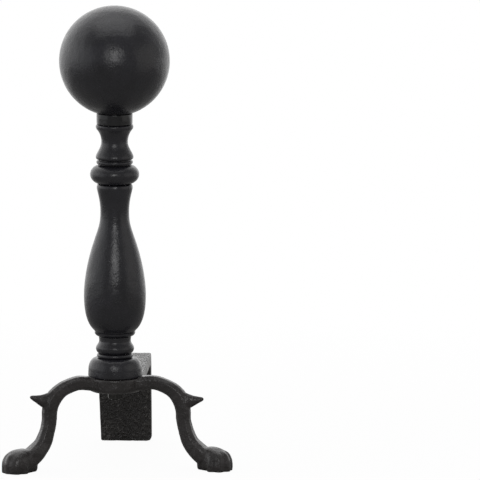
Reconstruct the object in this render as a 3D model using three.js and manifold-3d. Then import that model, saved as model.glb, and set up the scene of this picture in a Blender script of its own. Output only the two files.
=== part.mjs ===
// Andiron: a column of turned iron castings with a ball on top, clamped by one threaded rod
// onto a two-legged base casting, and a log rest that runs back to a rear leg.
//
// Millimetres, +Z up, the front faces -Y. While it is built, the column stands on the Z axis
// with the floor at z = 0; the last lines move the origin to the middle of the footprint.

import * as THREE from 'three';
import { mergeVertices } from 'three/addons/utils/BufferGeometryUtils.js';
import Module from 'manifold-3d';

const wasm = await Module();
wasm.setup();

// ---- Driving dimensions ----------------------------------------------------------------

// Fits
const seatGap = 0.3; // between two stacked castings
const boreClearance = 0.5; // round the rod in a plain bore, on the radius
const threadGap = 0.3; // round the rod in a tapped hole, on the radius
const capClearance = 0.4; // round the cap, between the leg roots
const tongueClearance = 0.4; // round the log rest's tongue in the hub
const overcut = 5; // how far a cutting shape runs past the face it cuts

// Facets of a full turn
const turnedFacets = 32;
const slimFacets = 24;
const smallFacets = 16;
const turn = 2 * Math.PI;
const quarterTurn = Math.PI / 2;

// Tie rod and its fasteners
const rodRadius = 4;
const rodChamfer = 0.8;
const rodProud = 1.8; // below the nut
const threadEngagement = 15; // in the ball's boss
const nutAcrossFlats = 13;
const nutHeight = 6.5;
const nutChamfer = 0.9;
const flatWasherRadius = 8;
const flatWasherThickness = 1.6;
const lockWasherRadius = 7;
const lockWasherThickness = 2.1;
const lockWasherSlit = 1.6;

// Hub of the leg casting
const hubHeight = 69.8; // underside above the floor
const hubThickness = 13.6;
const hubRadius = 25.6;
const hubEdgeRadius = 4.6;
const hubRecessRadius = 10; // round the washers, from below
const hubRecessDepth = 4.2;

// Cabriole legs: the middle line starts in the hub, crests, bends at the knee and drops to the paw
const splay = THREE.MathUtils.degToRad(21); // forward of straight sideways
const legWidth = 12.5;
const legChamfer = 2.9;
const legRootDepth = 11; // how far the leg runs into the hub
const legRootThickness = 13;
const crestRadius = 38;
const crestRise = 3.1; // above the middle of the hub
const crestThickness = 12.8;
const shoulderRadius = 50;
const shoulderDrop = 0.2; // below the middle of the hub
const shoulderThickness = 13.2;
const browRadius = 58.6;
const browDrop = 5.2;
const browThickness = 14;
const kneeRadius = 64.4;
const kneeDrop = 12.6;
const kneeThickness = 14.8;
const calfRadius = 66.6;
const calfDrop = 21.4;
const calfThickness = 13.8;
const shinRadius = 67.6;
const shinHeight = 43; // above the floor, as the two below
const shinThickness = 12.8;
const ankleInset = 24; // inwards from the middle of the paw
const ankleHeight = 25.5;
const ankleThickness = 12.6;
const instepInset = 11;
const instepHeight = 12.5;
const instepThickness = 14;
const legSteps = 16;

// Spur on the outside of the knee
const spurReach = 86.9; // tip, from the column's axis
const spurBaseRadius = 68;
const spurBaseDrop = 11.6; // below the middle of the hub
const spurTipDrop = 8.6;
const spurBaseHalf = 9; // half heights of the horn at its base, halfway and at its blunt tip
const spurMiddleHalf = 4.1;
const spurTipHalf = 1.6;
const spurFlatness = 0.72; // width over height

// Paw feet
const pawRadius = 97; // middle of the paw, from the column's axis
const pawTurn = THREE.MathUtils.degToRad(20); // of the toes, further forward than the leg
const palmLength = 15.8; // half lengths, as the widths and heights below
const palmWidth = 12;
const palmHeight = 12.2;
const palmCentre = 9.3; // above the floor
const dorsumLength = 12;
const dorsumWidth = 9.5;
const dorsumHeight = 11;
const dorsumCentre = 12;
const dorsumOffset = 9; // behind the middle of the paw, as the heel's
const heelLength = 9;
const heelWidth = 10;
const heelHeight = 8.6;
const heelCentre = 6;
const heelOffset = 10.6;
const toeCount = 5;
const toeFan = THREE.MathUtils.degToRad(33); // between neighbouring toes
const toeLength = 6.2;
const toeWidth = 4.2;
const toeHeight = 7.8;
const toeCentre = 5.2;
const toeReach = 11.8; // middle of a toe from the middle of the paw

// Log rest
const barWidth = 50.2;
const barThickness = 10.5;
const barDraft = 0.3; // each side, wider below
const barStart = 14; // behind the column's axis
const barHubGap = 0.6; // round the hub
const tongueWidth = 30;
const tongueThickness = 4.6;
const logRestTurn = THREE.MathUtils.degToRad(6.6); // to the right of straight back
const rearLegReach = 145.5; // outer face behind the column's axis
const rearLegThickness = 12;
const rearLegToeWidth = 48.2;
const rearLegLean = 1.7; // of the toe, to the right
const rearLegFillet = 5;
const toeCornerLeft = 0.9;
const toeCornerRight = 3.8;

// Base cap
const capRadius = 25.1;
const capSkirtRadius = 24.9; // where the dome starts
const capSkirtHeight = 6.6;
const capFootChamfer = 0.8;
const capDomeHeight = 11.2;
const capDomeReach = 7;
const capQuirkRadius = 15.4;
const capQuirkHeight = 0.5;
const capBeadRadius = 16.9;
const capBeadHeight = 3.6;

// Base neck
const neckFootRadius = 16;
const neckSwellRadius = 17.8;
const neckSwellHeight = 4.7;
const neckWaistRadius = 14.8;
const neckWaistHeight = 11.7;
const neckTopRadius = 15.2;
const neckHeight = 16;
const neckSwellPull = 0.35; // shape of the waist, as shares of the way up from the swell
const neckWaistPull = 0.35;
const neckTopLand = 1;

// Baluster
const balusterHeight = 142.8;
const balusterFootRadius = 16.4;
const balusterLipRadius = 19;
const balusterLipHeight = 3.6;
const balusterQuirkDepth = 0.6; // of the fine line above the foot lip
const balusterQuirkHeight = 0.4; // of each of its sides
const bellyRadius = 28.9;
const bellyHeight = 38;
const balusterNeckRadius = 13.45;
const balusterNeckHeight = 117;
const balusterTopRadius = 16.8;
const balusterTopLand = 3.4;
const balusterTopInset = 1.1;
const footPull = 0.06; // shape of the belly below its widest, as shares of its rise
const bellyLowerPull = 0.86;
const taperHeight = 0.63; // where the taper is steepest, as shares of its rise and its reach
const taperReach = 0.42;
const taperSlope = 0.33; // inwards for each millimetre up
const bellyUpperPull = 0.03; // shape above and below that point, as shares of the rise
const taperLowerPull = 0.355;
const taperUpperPull = 0.19;
const neckLowerPull = 0.15;
const flareLowerPull = 0.49; // shape of the flare, as shares of its height
const flareUpperPull = 0.82;
const flareEase = 0.5; // inwards pull just under the top lip
const balusterWall = 8;
const balusterCoreEnd = 16; // solid iron at each end of the core

// Torus ring
const torusRadius = 22.9;
const torusHeight = 17.9;
const torusRoundWidth = 10.9; // half width of its round section
const torusRoundHeight = 9.2; // half height of its round section

// Spacer ring
const spacerRadius = 17;
const spacerHeight = 4.3;
const spacerEdgeRadius = 1;
const spacerSeatRadius = 14.4;
const spacerSeatHeight = 0.8;

// Upper spool
const spoolHeight = 32.9;
const spoolFootRadius = 16.2;
const spoolSwellRadius = 17.6;
const spoolSwellHeight = 2.2;
const spoolWaistRadius = 12.4;
const spoolWaistHeight = 16.1;
const spoolLipRadius = 17.5;
const spoolLipThickness = 4.8;
const spoolLipInset = 1.1; // of the lip's lower edge, and of its upper one
const spoolLipDrop = 1.9; // from the top down to its widest
const spoolSwellPull = 0.24; // shape of the waist, as shares of the way down from the swell
const spoolWaistPull = 0.36;
const spoolFlarePull = 0.48; // shape of the flare, as shares of its height
const spoolFlareEnd = 0.78;
const spoolFlareEase = 2.1;

// Finial collar
const collarRadius = 16.85;
const collarHeight = 10.2;
const collarEdgeRadius = 0.8;

// Ball finial
const ballRadius = 51.5;
const ballWall = 8;
const ballSeatRadius = 17;
const ballBossRadius = 10;
const ballBossHeight = 18;
const ballSteps = 18;

// ---- Worked out from them ----------------------------------------------------------------

const boreRadius = rodRadius + boreClearance;
const tappedRadius = rodRadius + threadGap;
const hubTop = hubHeight + hubThickness;
const hubMiddle = hubHeight + hubThickness / 2;

// Height of each casting's lower face, from the hub upwards
const capBase = hubTop + seatGap;
const capHeight = capSkirtHeight + capDomeHeight + capQuirkHeight + capBeadHeight;
const neckBase = capBase + capHeight + seatGap;
const balusterBase = neckBase + neckHeight + seatGap;
const torusBase = balusterBase + balusterHeight + seatGap;
const spacerBase = torusBase + torusHeight + seatGap;
const spoolBase = spacerBase + spacerHeight + seatGap;
const collarBase = spoolBase + spoolHeight + seatGap;
const ballSeat = collarBase + collarHeight + seatGap;
const ballSeatDrop = Math.sqrt(ballRadius ** 2 - ballSeatRadius ** 2); // below the ball's middle

// Fasteners, from the hub's recess downwards
const flatWasherBase = hubHeight + hubRecessDepth - seatGap - flatWasherThickness;
const lockWasherBase = flatWasherBase - seatGap - lockWasherThickness;
const nutBase = lockWasherBase - seatGap - nutHeight;
const rodBase = nutBase - rodProud;
const rodTop = ballSeat + threadEngagement;

// ---- Materials -----------------------------------------------------------------------------

function blackIron(roughness) {
  return new THREE.MeshStandardMaterial({ color: 0x2a2a2d, roughness, metalness: 0.2 });
}

const turnedIron = blackIron(0.5);
const glossyIron = blackIron(0.3);
const castIron = blackIron(0.58);
const roughIron = blackIron(0.72);
const blackSteel = new THREE.MeshStandardMaterial({ color: 0x3a3a3d, roughness: 0.4, metalness: 0.7 });

// ---- Helpers -------------------------------------------------------------------------------

const andiron = new THREE.Group();

function addPiece(name, geometry, material, height = 0) {
  const mesh = new THREE.Mesh(geometry, material);
  mesh.name = name;
  mesh.position.z = height;
  andiron.add(mesh);
}

// Merges shared corners, drops triangles without area and turns the faces outward.
function tidied(geometry) {
  const bare = geometry.clone();
  bare.deleteAttribute('normal');
  bare.deleteAttribute('uv');
  const merged = mergeVertices(bare, 1e-4);
  const position = merged.attributes.position;
  const source = merged.index.array;
  const corners = [new THREE.Vector3(), new THREE.Vector3(), new THREE.Vector3()];
  const triangles = [];
  let volume = 0;
  for (let i = 0; i < source.length; i += 3) {
    const [a, b, c] = source.slice(i, i + 3);
    if (a === b || b === c || c === a) continue;
    triangles.push([a, b, c]);
    corners.forEach((corner, k) => corner.fromBufferAttribute(position, [a, b, c][k]));
    volume += corners[0].dot(corners[1].clone().cross(corners[2]));
  }
  if (volume < 0) triangles.forEach((triangle) => triangle.reverse());
  merged.setIndex(triangles.flat());
  merged.computeVertexNormals();
  return merged;
}

function solidOf(geometry) {
  const closed = tidied(geometry);
  const vertProperties = new Float32Array(closed.attributes.position.array);
  const triVerts = new Uint32Array(closed.index.array);
  return new wasm.Manifold(new wasm.Mesh({ numProp: 3, vertProperties, triVerts }));
}

function geometryOf(solid) {
  const mesh = solid.getMesh();
  const geometry = new THREE.BufferGeometry();
  geometry.setAttribute('position', new THREE.BufferAttribute(mesh.vertProperties, 3));
  geometry.setIndex(new THREE.BufferAttribute(mesh.triVerts, 1));
  geometry.computeVertexNormals();
  return geometry;
}

// Turns an outline of (radius, height) points about the Z axis.
function turned(points, facets = turnedFacets) {
  const geometry = new THREE.LatheGeometry(points, facets);
  geometry.rotateX(quarterTurn);
  return tidied(geometry);
}

// A turned casting bored right through: the outline runs up its outside, from bottom to top.
function boredCasting(outline, curveSteps, facets = slimFacets) {
  const outside = outline.getPoints(curveSteps);
  const bottom = new THREE.Vector2(boreRadius, outside[0].y);
  const top = new THREE.Vector2(boreRadius, outside[outside.length - 1].y);
  return turned([bottom, ...outside, top, bottom.clone()], facets);
}

// A plain cylinder on the Z axis, for cutting.
function cutter(radius, bottom, top, facets = turnedFacets) {
  const geometry = new THREE.CylinderGeometry(radius, radius, top - bottom, facets);
  geometry.rotateX(quarterTurn);
  geometry.translate(0, 0, (top + bottom) / 2);
  return solidOf(geometry);
}

function ellipsoid(halfLength, halfWidth, halfHeight, centreHeight) {
  const geometry = new THREE.SphereGeometry(1, 12, 8);
  geometry.scale(halfLength, halfWidth, halfHeight);
  geometry.translate(0, 0, centreHeight);
  return geometry;
}

// ---- Tie rod, washers and nut ----------------------------------------------------------------

function tieRod() {
  const outline = [
    new THREE.Vector2(0, rodBase),
    new THREE.Vector2(rodRadius - rodChamfer, rodBase),
    new THREE.Vector2(rodRadius, rodBase + rodChamfer),
    new THREE.Vector2(rodRadius, rodTop - rodChamfer),
    new THREE.Vector2(rodRadius - rodChamfer, rodTop),
    new THREE.Vector2(0, rodTop),
  ];
  return turned(outline, smallFacets);
}

function flatWasher() {
  const outline = new THREE.Path();
  outline.moveTo(flatWasherRadius, 0);
  outline.lineTo(flatWasherRadius, flatWasherThickness);
  return boredCasting(outline, 1);
}

// A spring washer: a ring with one slit through it, at the back.
function lockWasher() {
  const slitAngle = lockWasherSlit / lockWasherRadius;
  const start = quarterTurn + slitAngle / 2;
  const end = quarterTurn + turn - slitAngle / 2;
  const ring = new THREE.Shape();
  ring.absarc(0, 0, lockWasherRadius, start, end, false);
  ring.absarc(0, 0, boreRadius, end, start, true);
  ring.closePath();
  const depth = lockWasherThickness;
  const washer = new THREE.ExtrudeGeometry(ring, { depth, bevelEnabled: false, curveSegments: smallFacets });
  return tidied(washer);
}

// A hexagon with one corner to the front, both ends chamfered by a cone.
function hexNut() {
  const cornerRadius = nutAcrossFlats / Math.sqrt(3);
  const prism = new THREE.CylinderGeometry(cornerRadius, cornerRadius, nutHeight, 6);
  prism.rotateX(quarterTurn);
  prism.translate(0, 0, nutHeight / 2);
  const endRadius = nutAcrossFlats / 2;
  const cone = turned([
    new THREE.Vector2(0, 0),
    new THREE.Vector2(endRadius, 0),
    new THREE.Vector2(cornerRadius + overcut, nutChamfer * (1 + overcut / (cornerRadius - endRadius))),
    new THREE.Vector2(cornerRadius + overcut, nutHeight + overcut),
    new THREE.Vector2(0, nutHeight + overcut),
  ]);
  const upsideDown = cone.clone().rotateX(Math.PI).translate(0, 0, nutHeight);
  const hole = cutter(tappedRadius, -overcut, nutHeight + overcut, smallFacets);
  const nut = solidOf(prism).intersect(solidOf(cone)).intersect(solidOf(upsideDown)).subtract(hole);
  return geometryOf(nut);
}

addPiece('tie_rod', tieRod(), blackSteel);
addPiece('flat_washer', flatWasher(), blackSteel, flatWasherBase);
addPiece('lock_washer', lockWasher(), blackSteel, lockWasherBase);
addPiece('hex_nut', hexNut(), blackSteel, nutBase);

// ---- Leg casting: hub, two cabriole legs, spurs and paws ----------------------------------------

function hub() {
  const lowerEdge = hubHeight + hubEdgeRadius;
  const outline = new THREE.Path();
  outline.moveTo(0, hubHeight);
  outline.lineTo(hubRadius - hubEdgeRadius, hubHeight);
  outline.absarc(hubRadius - hubEdgeRadius, lowerEdge, hubEdgeRadius, -quarterTurn, 0, false);
  outline.lineTo(hubRadius, hubTop);
  outline.lineTo(0, hubTop);
  return solidOf(turned(outline.getPoints(3)));
}

// Middle line of a leg in its own upright plane: x outward, y up, z the thickness there.
function legLine() {
  return new THREE.CatmullRomCurve3([
    new THREE.Vector3(hubRadius - legRootDepth, hubMiddle, legRootThickness),
    new THREE.Vector3(crestRadius, hubMiddle + crestRise, crestThickness),
    new THREE.Vector3(shoulderRadius, hubMiddle - shoulderDrop, shoulderThickness),
    new THREE.Vector3(browRadius, hubMiddle - browDrop, browThickness),
    new THREE.Vector3(kneeRadius, hubMiddle - kneeDrop, kneeThickness),
    new THREE.Vector3(calfRadius, hubMiddle - calfDrop, calfThickness),
    new THREE.Vector3(shinRadius, shinHeight, shinThickness),
    new THREE.Vector3(pawRadius - ankleInset, ankleHeight, ankleThickness),
    new THREE.Vector3(pawRadius - instepInset, instepHeight, instepThickness),
  ], false, 'centripetal');
}

// The leg's outline lies half a thickness to both sides of its middle line.
function legOutline() {
  const line = legLine();
  const above = [];
  const below = [];
  for (let i = 0; i <= legSteps; i += 1) {
    const point = line.getPoint(i / legSteps);
    const along = line.getTangent(i / legSteps);
    const across = new THREE.Vector2(-along.y, along.x).normalize().multiplyScalar(point.z / 2);
    above.push(new THREE.Vector2(point.x, point.y).add(across));
    below.unshift(new THREE.Vector2(point.x, point.y).sub(across));
  }
  return new THREE.Shape([...below, ...above]);
}

function legArm() {
  const depth = legWidth - 2 * legChamfer;
  const arm = new THREE.ExtrudeGeometry(legOutline(), {
    depth,
    bevelThickness: legChamfer,
    bevelSize: legChamfer,
    bevelOffset: -legChamfer,
    bevelSegments: 1,
  });
  arm.translate(0, 0, -depth / 2);
  arm.rotateX(quarterTurn);
  return solidOf(arm);
}

// A horn with hollow flanks, from inside the knee out to its tip.
function legSpur() {
  const base = new THREE.Vector2(spurBaseRadius, hubMiddle - spurBaseDrop);
  const tip = new THREE.Vector2(spurReach, hubMiddle - spurTipDrop);
  const length = base.distanceTo(tip);
  const outline = new THREE.Path();
  outline.moveTo(0, -spurBaseHalf / 2);
  outline.lineTo(spurBaseHalf, 0);
  outline.quadraticCurveTo(spurMiddleHalf, length / 2, spurTipHalf, length - spurTipHalf);
  outline.lineTo(spurTipHalf / 2, length - spurTipHalf / 4);
  outline.lineTo(0, length);
  const horn = turned(outline.getPoints(5), smallFacets);
  horn.scale(1, spurFlatness, 1);
  horn.rotateY(quarterTurn - Math.atan2(tip.y - base.y, tip.x - base.x));
  horn.translate(base.x, 0, base.y);
  return solidOf(horn);
}

// A paw: palm, back, heel and a fan of toes, turned further forward than its leg.
function paw() {
  const dorsum = ellipsoid(dorsumLength, dorsumWidth, dorsumHeight, dorsumCentre);
  dorsum.translate(-dorsumOffset, 0, 0);
  const heel = ellipsoid(heelLength, heelWidth, heelHeight, heelCentre);
  heel.translate(-heelOffset, 0, 0);
  let foot = solidOf(ellipsoid(palmLength, palmWidth, palmHeight, palmCentre));
  foot = foot.add(solidOf(dorsum)).add(solidOf(heel));
  for (let i = 0; i < toeCount; i += 1) {
    const toe = ellipsoid(toeLength, toeWidth, toeHeight, toeCentre);
    toe.translate(toeReach, 0, 0);
    toe.rotateZ((i - (toeCount - 1) / 2) * toeFan);
    foot = foot.add(solidOf(toe));
  }
  const geometry = geometryOf(foot);
  geometry.rotateZ(-pawTurn);
  geometry.translate(pawRadius, 0, 0);
  return solidOf(geometry);
}

function mirrored(geometry) {
  const copy = geometry.clone().scale(-1, 1, 1);
  return tidied(copy);
}

function legCasting() {
  const rightLeg = geometryOf(legArm().add(legSpur()).add(paw()));
  rightLeg.rotateZ(-splay);
  const leftLeg = mirrored(rightLeg);

  const footprint = 4 * pawRadius;
  const floor = new THREE.BoxGeometry(footprint, footprint, footprint);
  floor.translate(0, 0, -footprint / 2);
  const capSeat = cutter(capRadius + capClearance, hubTop, hubTop + crestThickness + overcut);
  const bore = cutter(boreRadius, hubHeight - overcut, hubTop + overcut, smallFacets);
  const recess = cutter(hubRecessRadius, hubHeight - overcut, hubHeight + hubRecessDepth, slimFacets);
  const pocketDepth = tongueThickness + seatGap;
  const pocket = tonguePlate(tongueWidth / 2 + tongueClearance, pocketDepth + overcut, hubRadius + overcut);
  pocket.translate(0, 0, hubTop - pocketDepth);
  pocket.rotateZ(-logRestTurn);

  return hub()
    .add(solidOf(rightLeg))
    .add(solidOf(leftLeg))
    .subtract(solidOf(floor))
    .subtract(capSeat)
    .subtract(bore)
    .subtract(recess)
    .subtract(solidOf(pocket));
}

// The tongue's plan: round about the rod, with straight sides running back to a given length.
function tonguePlate(radius, thickness, length) {
  const plan = new THREE.Shape();
  plan.moveTo(radius, length);
  plan.lineTo(radius, 0);
  plan.absarc(0, 0, radius, 0, -Math.PI, true);
  plan.lineTo(-radius, length);
  plan.closePath();
  return new THREE.ExtrudeGeometry(plan, {
    depth: thickness,
    bevelEnabled: false,
    curveSegments: smallFacets,
  });
}

addPiece('leg_casting', geometryOf(legCasting()), castIron);

// ---- Log rest: tongue, bar and rear leg ------------------------------------------------------

// Seen from the side: x is the distance behind the column, y the height.
function logRestSide() {
  const barUnderside = hubTop - barThickness;
  const innerFace = rearLegReach - rearLegThickness;
  const side = new THREE.Shape();
  side.moveTo(barStart, barUnderside);
  side.lineTo(innerFace - rearLegFillet, barUnderside);
  side.absarc(innerFace - rearLegFillet, barUnderside - rearLegFillet, rearLegFillet, quarterTurn, 0, true);
  side.lineTo(innerFace, 0);
  side.lineTo(rearLegReach, 0);
  side.lineTo(rearLegReach, hubTop);
  side.lineTo(barStart, hubTop);
  side.closePath();
  const width = 2 * barWidth;
  const slab = new THREE.ExtrudeGeometry(side, { depth: width, bevelEnabled: false, curveSegments: 4 });
  slab.translate(0, 0, -width / 2);
  slab.rotateX(quarterTurn);
  slab.rotateZ(quarterTurn);
  return solidOf(slab);
}

// Seen from the front: the bar's draft above, and the rear leg narrowing to its toe.
function logRestFront() {
  const top = barWidth / 2;
  const waist = top + barDraft;
  const toe = rearLegToeWidth / 2;
  const front = new THREE.Shape();
  front.moveTo(rearLegLean - toe + toeCornerLeft, 0);
  front.lineTo(rearLegLean + toe - toeCornerRight, 0);
  front.quadraticCurveTo(rearLegLean + toe, 0, rearLegLean + toe, toeCornerRight);
  front.lineTo(waist, hubTop - barThickness);
  front.lineTo(top, hubTop);
  front.lineTo(-top, hubTop);
  front.lineTo(-waist, hubTop - barThickness);
  front.lineTo(rearLegLean - toe, toeCornerLeft);
  front.closePath();
  const depth = rearLegReach + overcut;
  const slab = new THREE.ExtrudeGeometry(front, { depth, bevelEnabled: false, curveSegments: 4 });
  slab.rotateX(quarterTurn);
  slab.translate(0, depth, 0);
  return solidOf(slab);
}

function logRest() {
  const tongue = tonguePlate(tongueWidth / 2, tongueThickness, hubRadius + overcut);
  tongue.translate(0, 0, hubTop - tongueThickness);
  const hubRoom = cutter(hubRadius + barHubGap, 0, hubTop + overcut);
  const bore = cutter(boreRadius, 0, hubTop + overcut, smallFacets);
  const straight = logRestSide()
    .intersect(logRestFront())
    .subtract(hubRoom)
    .add(solidOf(tongue))
    .subtract(bore);
  return geometryOf(straight).rotateZ(-logRestTurn);
}

addPiece('log_rest', logRest(), roughIron);

// ---- Column castings, from the hub upwards -----------------------------------------------------

function baseCap() {
  const domeTop = capSkirtHeight + capDomeHeight;
  const domeMiddle = capSkirtRadius - capDomeReach;
  const beadBottom = domeTop + capQuirkHeight;
  const outline = new THREE.Path();
  outline.moveTo(capRadius - capFootChamfer, 0);
  outline.lineTo(capRadius, capFootChamfer);
  outline.lineTo(capSkirtRadius, capSkirtHeight);
  outline.absellipse(domeMiddle, capSkirtHeight, capDomeReach, capDomeHeight, 0, quarterTurn, false, 0);
  outline.lineTo(capQuirkRadius, domeTop);
  outline.lineTo(capQuirkRadius, beadBottom);
  outline.quadraticCurveTo(capBeadRadius, beadBottom, capBeadRadius, beadBottom + capBeadHeight / 2);
  outline.quadraticCurveTo(capBeadRadius, capHeight, capQuirkRadius, capHeight);
  return boredCasting(outline, 3, turnedFacets);
}

function baseNeck() {
  const rise = neckWaistHeight - neckSwellHeight;
  const outline = new THREE.Path();
  outline.moveTo(neckFootRadius, 0);
  outline.quadraticCurveTo(neckSwellRadius, neckSwellHeight / 2, neckSwellRadius, neckSwellHeight);
  outline.bezierCurveTo(
    neckSwellRadius, neckSwellHeight + neckSwellPull * rise,
    neckWaistRadius, neckWaistHeight - neckWaistPull * rise,
    neckWaistRadius, neckWaistHeight,
  );
  outline.quadraticCurveTo(neckWaistRadius, neckHeight - neckTopLand, neckTopRadius, neckHeight);
  return boredCasting(outline, 4);
}

// Outside of the baluster: foot lip and quirk, belly, taper, neck and top lip.
function balusterOutline() {
  const quirkMiddle = balusterLipHeight + balusterQuirkHeight;
  const bellyStart = quirkMiddle + balusterQuirkHeight;
  const underBelly = bellyHeight - bellyStart;
  const rise = balusterNeckHeight - bellyHeight;
  const taper = new THREE.Vector2(
    balusterNeckRadius + taperReach * (bellyRadius - balusterNeckRadius),
    bellyHeight + taperHeight * rise,
  );
  const below = new THREE.Vector2(taperSlope, -1).multiplyScalar(taperLowerPull * rise).add(taper);
  const above = new THREE.Vector2(-taperSlope, 1).multiplyScalar(taperUpperPull * rise).add(taper);
  const flareTop = balusterHeight - balusterTopLand;
  const flare = flareTop - balusterNeckHeight;
  const outline = new THREE.Path();
  outline.moveTo(balusterFootRadius, 0);
  outline.quadraticCurveTo(
    balusterLipRadius, balusterLipHeight / 3,
    balusterLipRadius, balusterLipHeight,
  );
  outline.lineTo(balusterLipRadius - balusterQuirkDepth, quirkMiddle);
  outline.lineTo(balusterLipRadius, bellyStart);
  outline.bezierCurveTo(
    balusterLipRadius, bellyStart + footPull * underBelly,
    bellyRadius, bellyHeight - bellyLowerPull * underBelly,
    bellyRadius, bellyHeight,
  );
  outline.bezierCurveTo(
    bellyRadius, bellyHeight + bellyUpperPull * rise,
    below.x, below.y,
    taper.x, taper.y,
  );
  outline.bezierCurveTo(
    above.x, above.y,
    balusterNeckRadius, balusterNeckHeight - neckLowerPull * rise,
    balusterNeckRadius, balusterNeckHeight,
  );
  outline.bezierCurveTo(
    balusterNeckRadius, balusterNeckHeight + flareLowerPull * flare,
    balusterTopRadius - flareEase, balusterNeckHeight + flareUpperPull * flare,
    balusterTopRadius, flareTop,
  );
  outline.quadraticCurveTo(
    balusterTopRadius, balusterHeight,
    balusterTopRadius - balusterTopInset, balusterHeight,
  );
  return outline;
}

// The core follows the outside at the wall's distance, and ends short of both faces.
function baluster() {
  const outside = balusterOutline().getPoints(5);
  const coreTop = balusterHeight - balusterCoreEnd;
  const core = outside
    .filter((point) => point.y > balusterCoreEnd && point.y < coreTop)
    .map((point) => new THREE.Vector2(Math.max(point.x - balusterWall, boreRadius + boreClearance), point.y))
    .reverse();
  const bottom = new THREE.Vector2(boreRadius, 0);
  const top = new THREE.Vector2(boreRadius, balusterHeight);
  const coreStart = new THREE.Vector2(boreRadius, balusterCoreEnd);
  const coreFinish = new THREE.Vector2(boreRadius, coreTop);
  return turned([bottom, ...outside, top, coreFinish, ...core, coreStart, bottom.clone()]);
}

function torusRing() {
  const middle = torusRadius - torusRoundWidth;
  const reach = Math.asin(torusHeight / 2 / torusRoundHeight);
  const outline = new THREE.Path();
  outline.absellipse(middle, torusHeight / 2, torusRoundWidth, torusRoundHeight, -reach, reach, false, 0);
  return boredCasting(outline, 5, turnedFacets);
}

function spacerRing() {
  const low = spacerSeatHeight;
  const high = spacerHeight - spacerSeatHeight;
  const inner = spacerRadius - spacerEdgeRadius;
  const outline = new THREE.Path();
  outline.moveTo(spacerSeatRadius, 0);
  outline.lineTo(spacerSeatRadius, low);
  outline.absarc(inner, low + spacerEdgeRadius, spacerEdgeRadius, -quarterTurn, 0, false);
  outline.absarc(inner, high - spacerEdgeRadius, spacerEdgeRadius, 0, quarterTurn, false);
  outline.lineTo(spacerSeatRadius, high);
  outline.lineTo(spacerSeatRadius, spacerHeight);
  return boredCasting(outline, 2);
}

function upperSpool() {
  const rise = spoolWaistHeight - spoolSwellHeight;
  const lipBottom = spoolHeight - spoolLipThickness;
  const lipMiddle = spoolHeight - spoolLipDrop;
  const lipEdge = spoolLipRadius - spoolLipInset;
  const flare = lipBottom - spoolWaistHeight;
  const outline = new THREE.Path();
  outline.moveTo(spoolFootRadius, 0);
  outline.quadraticCurveTo(spoolSwellRadius, spoolSwellHeight / 3, spoolSwellRadius, spoolSwellHeight);
  outline.bezierCurveTo(
    spoolSwellRadius, spoolSwellHeight + spoolSwellPull * rise,
    spoolWaistRadius, spoolWaistHeight - spoolWaistPull * rise,
    spoolWaistRadius, spoolWaistHeight,
  );
  outline.bezierCurveTo(
    spoolWaistRadius, spoolWaistHeight + spoolFlarePull * flare,
    spoolWaistRadius + spoolFlareEase, spoolWaistHeight + spoolFlareEnd * flare,
    lipEdge, lipBottom,
  );
  outline.quadraticCurveTo(spoolLipRadius, (lipBottom + lipMiddle) / 2, spoolLipRadius, lipMiddle);
  outline.quadraticCurveTo(spoolLipRadius, spoolHeight, lipEdge, spoolHeight);
  return boredCasting(outline, 5);
}

function finialCollar() {
  const inner = collarRadius - collarEdgeRadius;
  const outline = new THREE.Path();
  outline.absarc(inner, collarEdgeRadius, collarEdgeRadius, -quarterTurn, 0, false);
  outline.absarc(inner, collarHeight - collarEdgeRadius, collarEdgeRadius, 0, quarterTurn, false);
  return boredCasting(outline, 2);
}

// A hollow ball: outside from the top down to the seat, up the tapped boss and round the inside.
function ballFinial() {
  const innerRadius = ballRadius - ballWall;
  const seatAngle = Math.acos(ballSeatRadius / ballRadius);
  const bossTop = ballBossHeight - ballSeatDrop;
  const bossAngle = Math.acos(ballBossRadius / innerRadius);
  const outline = [];
  for (let i = 0; i <= ballSteps; i += 1) {
    const angle = quarterTurn - (i / ballSteps) * (quarterTurn + seatAngle);
    outline.push(new THREE.Vector2(ballRadius * Math.cos(angle), ballRadius * Math.sin(angle)));
  }
  outline.push(new THREE.Vector2(tappedRadius, -ballSeatDrop));
  outline.push(new THREE.Vector2(tappedRadius, bossTop));
  outline.push(new THREE.Vector2(ballBossRadius, bossTop));
  const innerSteps = ballSteps / 2;
  for (let i = 0; i <= innerSteps; i += 1) {
    const angle = -bossAngle + (i / innerSteps) * (bossAngle + quarterTurn);
    outline.push(new THREE.Vector2(innerRadius * Math.cos(angle), innerRadius * Math.sin(angle)));
  }
  outline[0].x = 0;
  outline[outline.length - 1].x = 0;
  return turned(outline);
}

addPiece('base_cap', baseCap(), turnedIron, capBase);
addPiece('base_neck', baseNeck(), turnedIron, neckBase);
addPiece('baluster', baluster(), turnedIron, balusterBase);
addPiece('torus_ring', torusRing(), turnedIron, torusBase);
addPiece('spacer_ring', spacerRing(), turnedIron, spacerBase);
addPiece('upper_spool', upperSpool(), turnedIron, spoolBase);
addPiece('finial_collar', finialCollar(), glossyIron, collarBase);
addPiece('ball_finial', ballFinial(), turnedIron, ballSeat + ballSeatDrop);

// ---- Origin: the middle of the footprint, on the floor ------------------------------------------

const extent = new THREE.Box3().setFromObject(andiron, true);
const middle = extent.getCenter(new THREE.Vector3());
andiron.position.set(-middle.x, -middle.y, -extent.min.z);

export default andiron;
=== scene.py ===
"""Andiron in satin black paint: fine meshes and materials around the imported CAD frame.

Sizes below are in millimetres, measured from the column's axis and from the floor; the helpers
turn them into metres in the frame's own place. The front faces -Y.
"""

import math

import bmesh
import bpy
from mathutils import Matrix, Vector, noise


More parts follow.
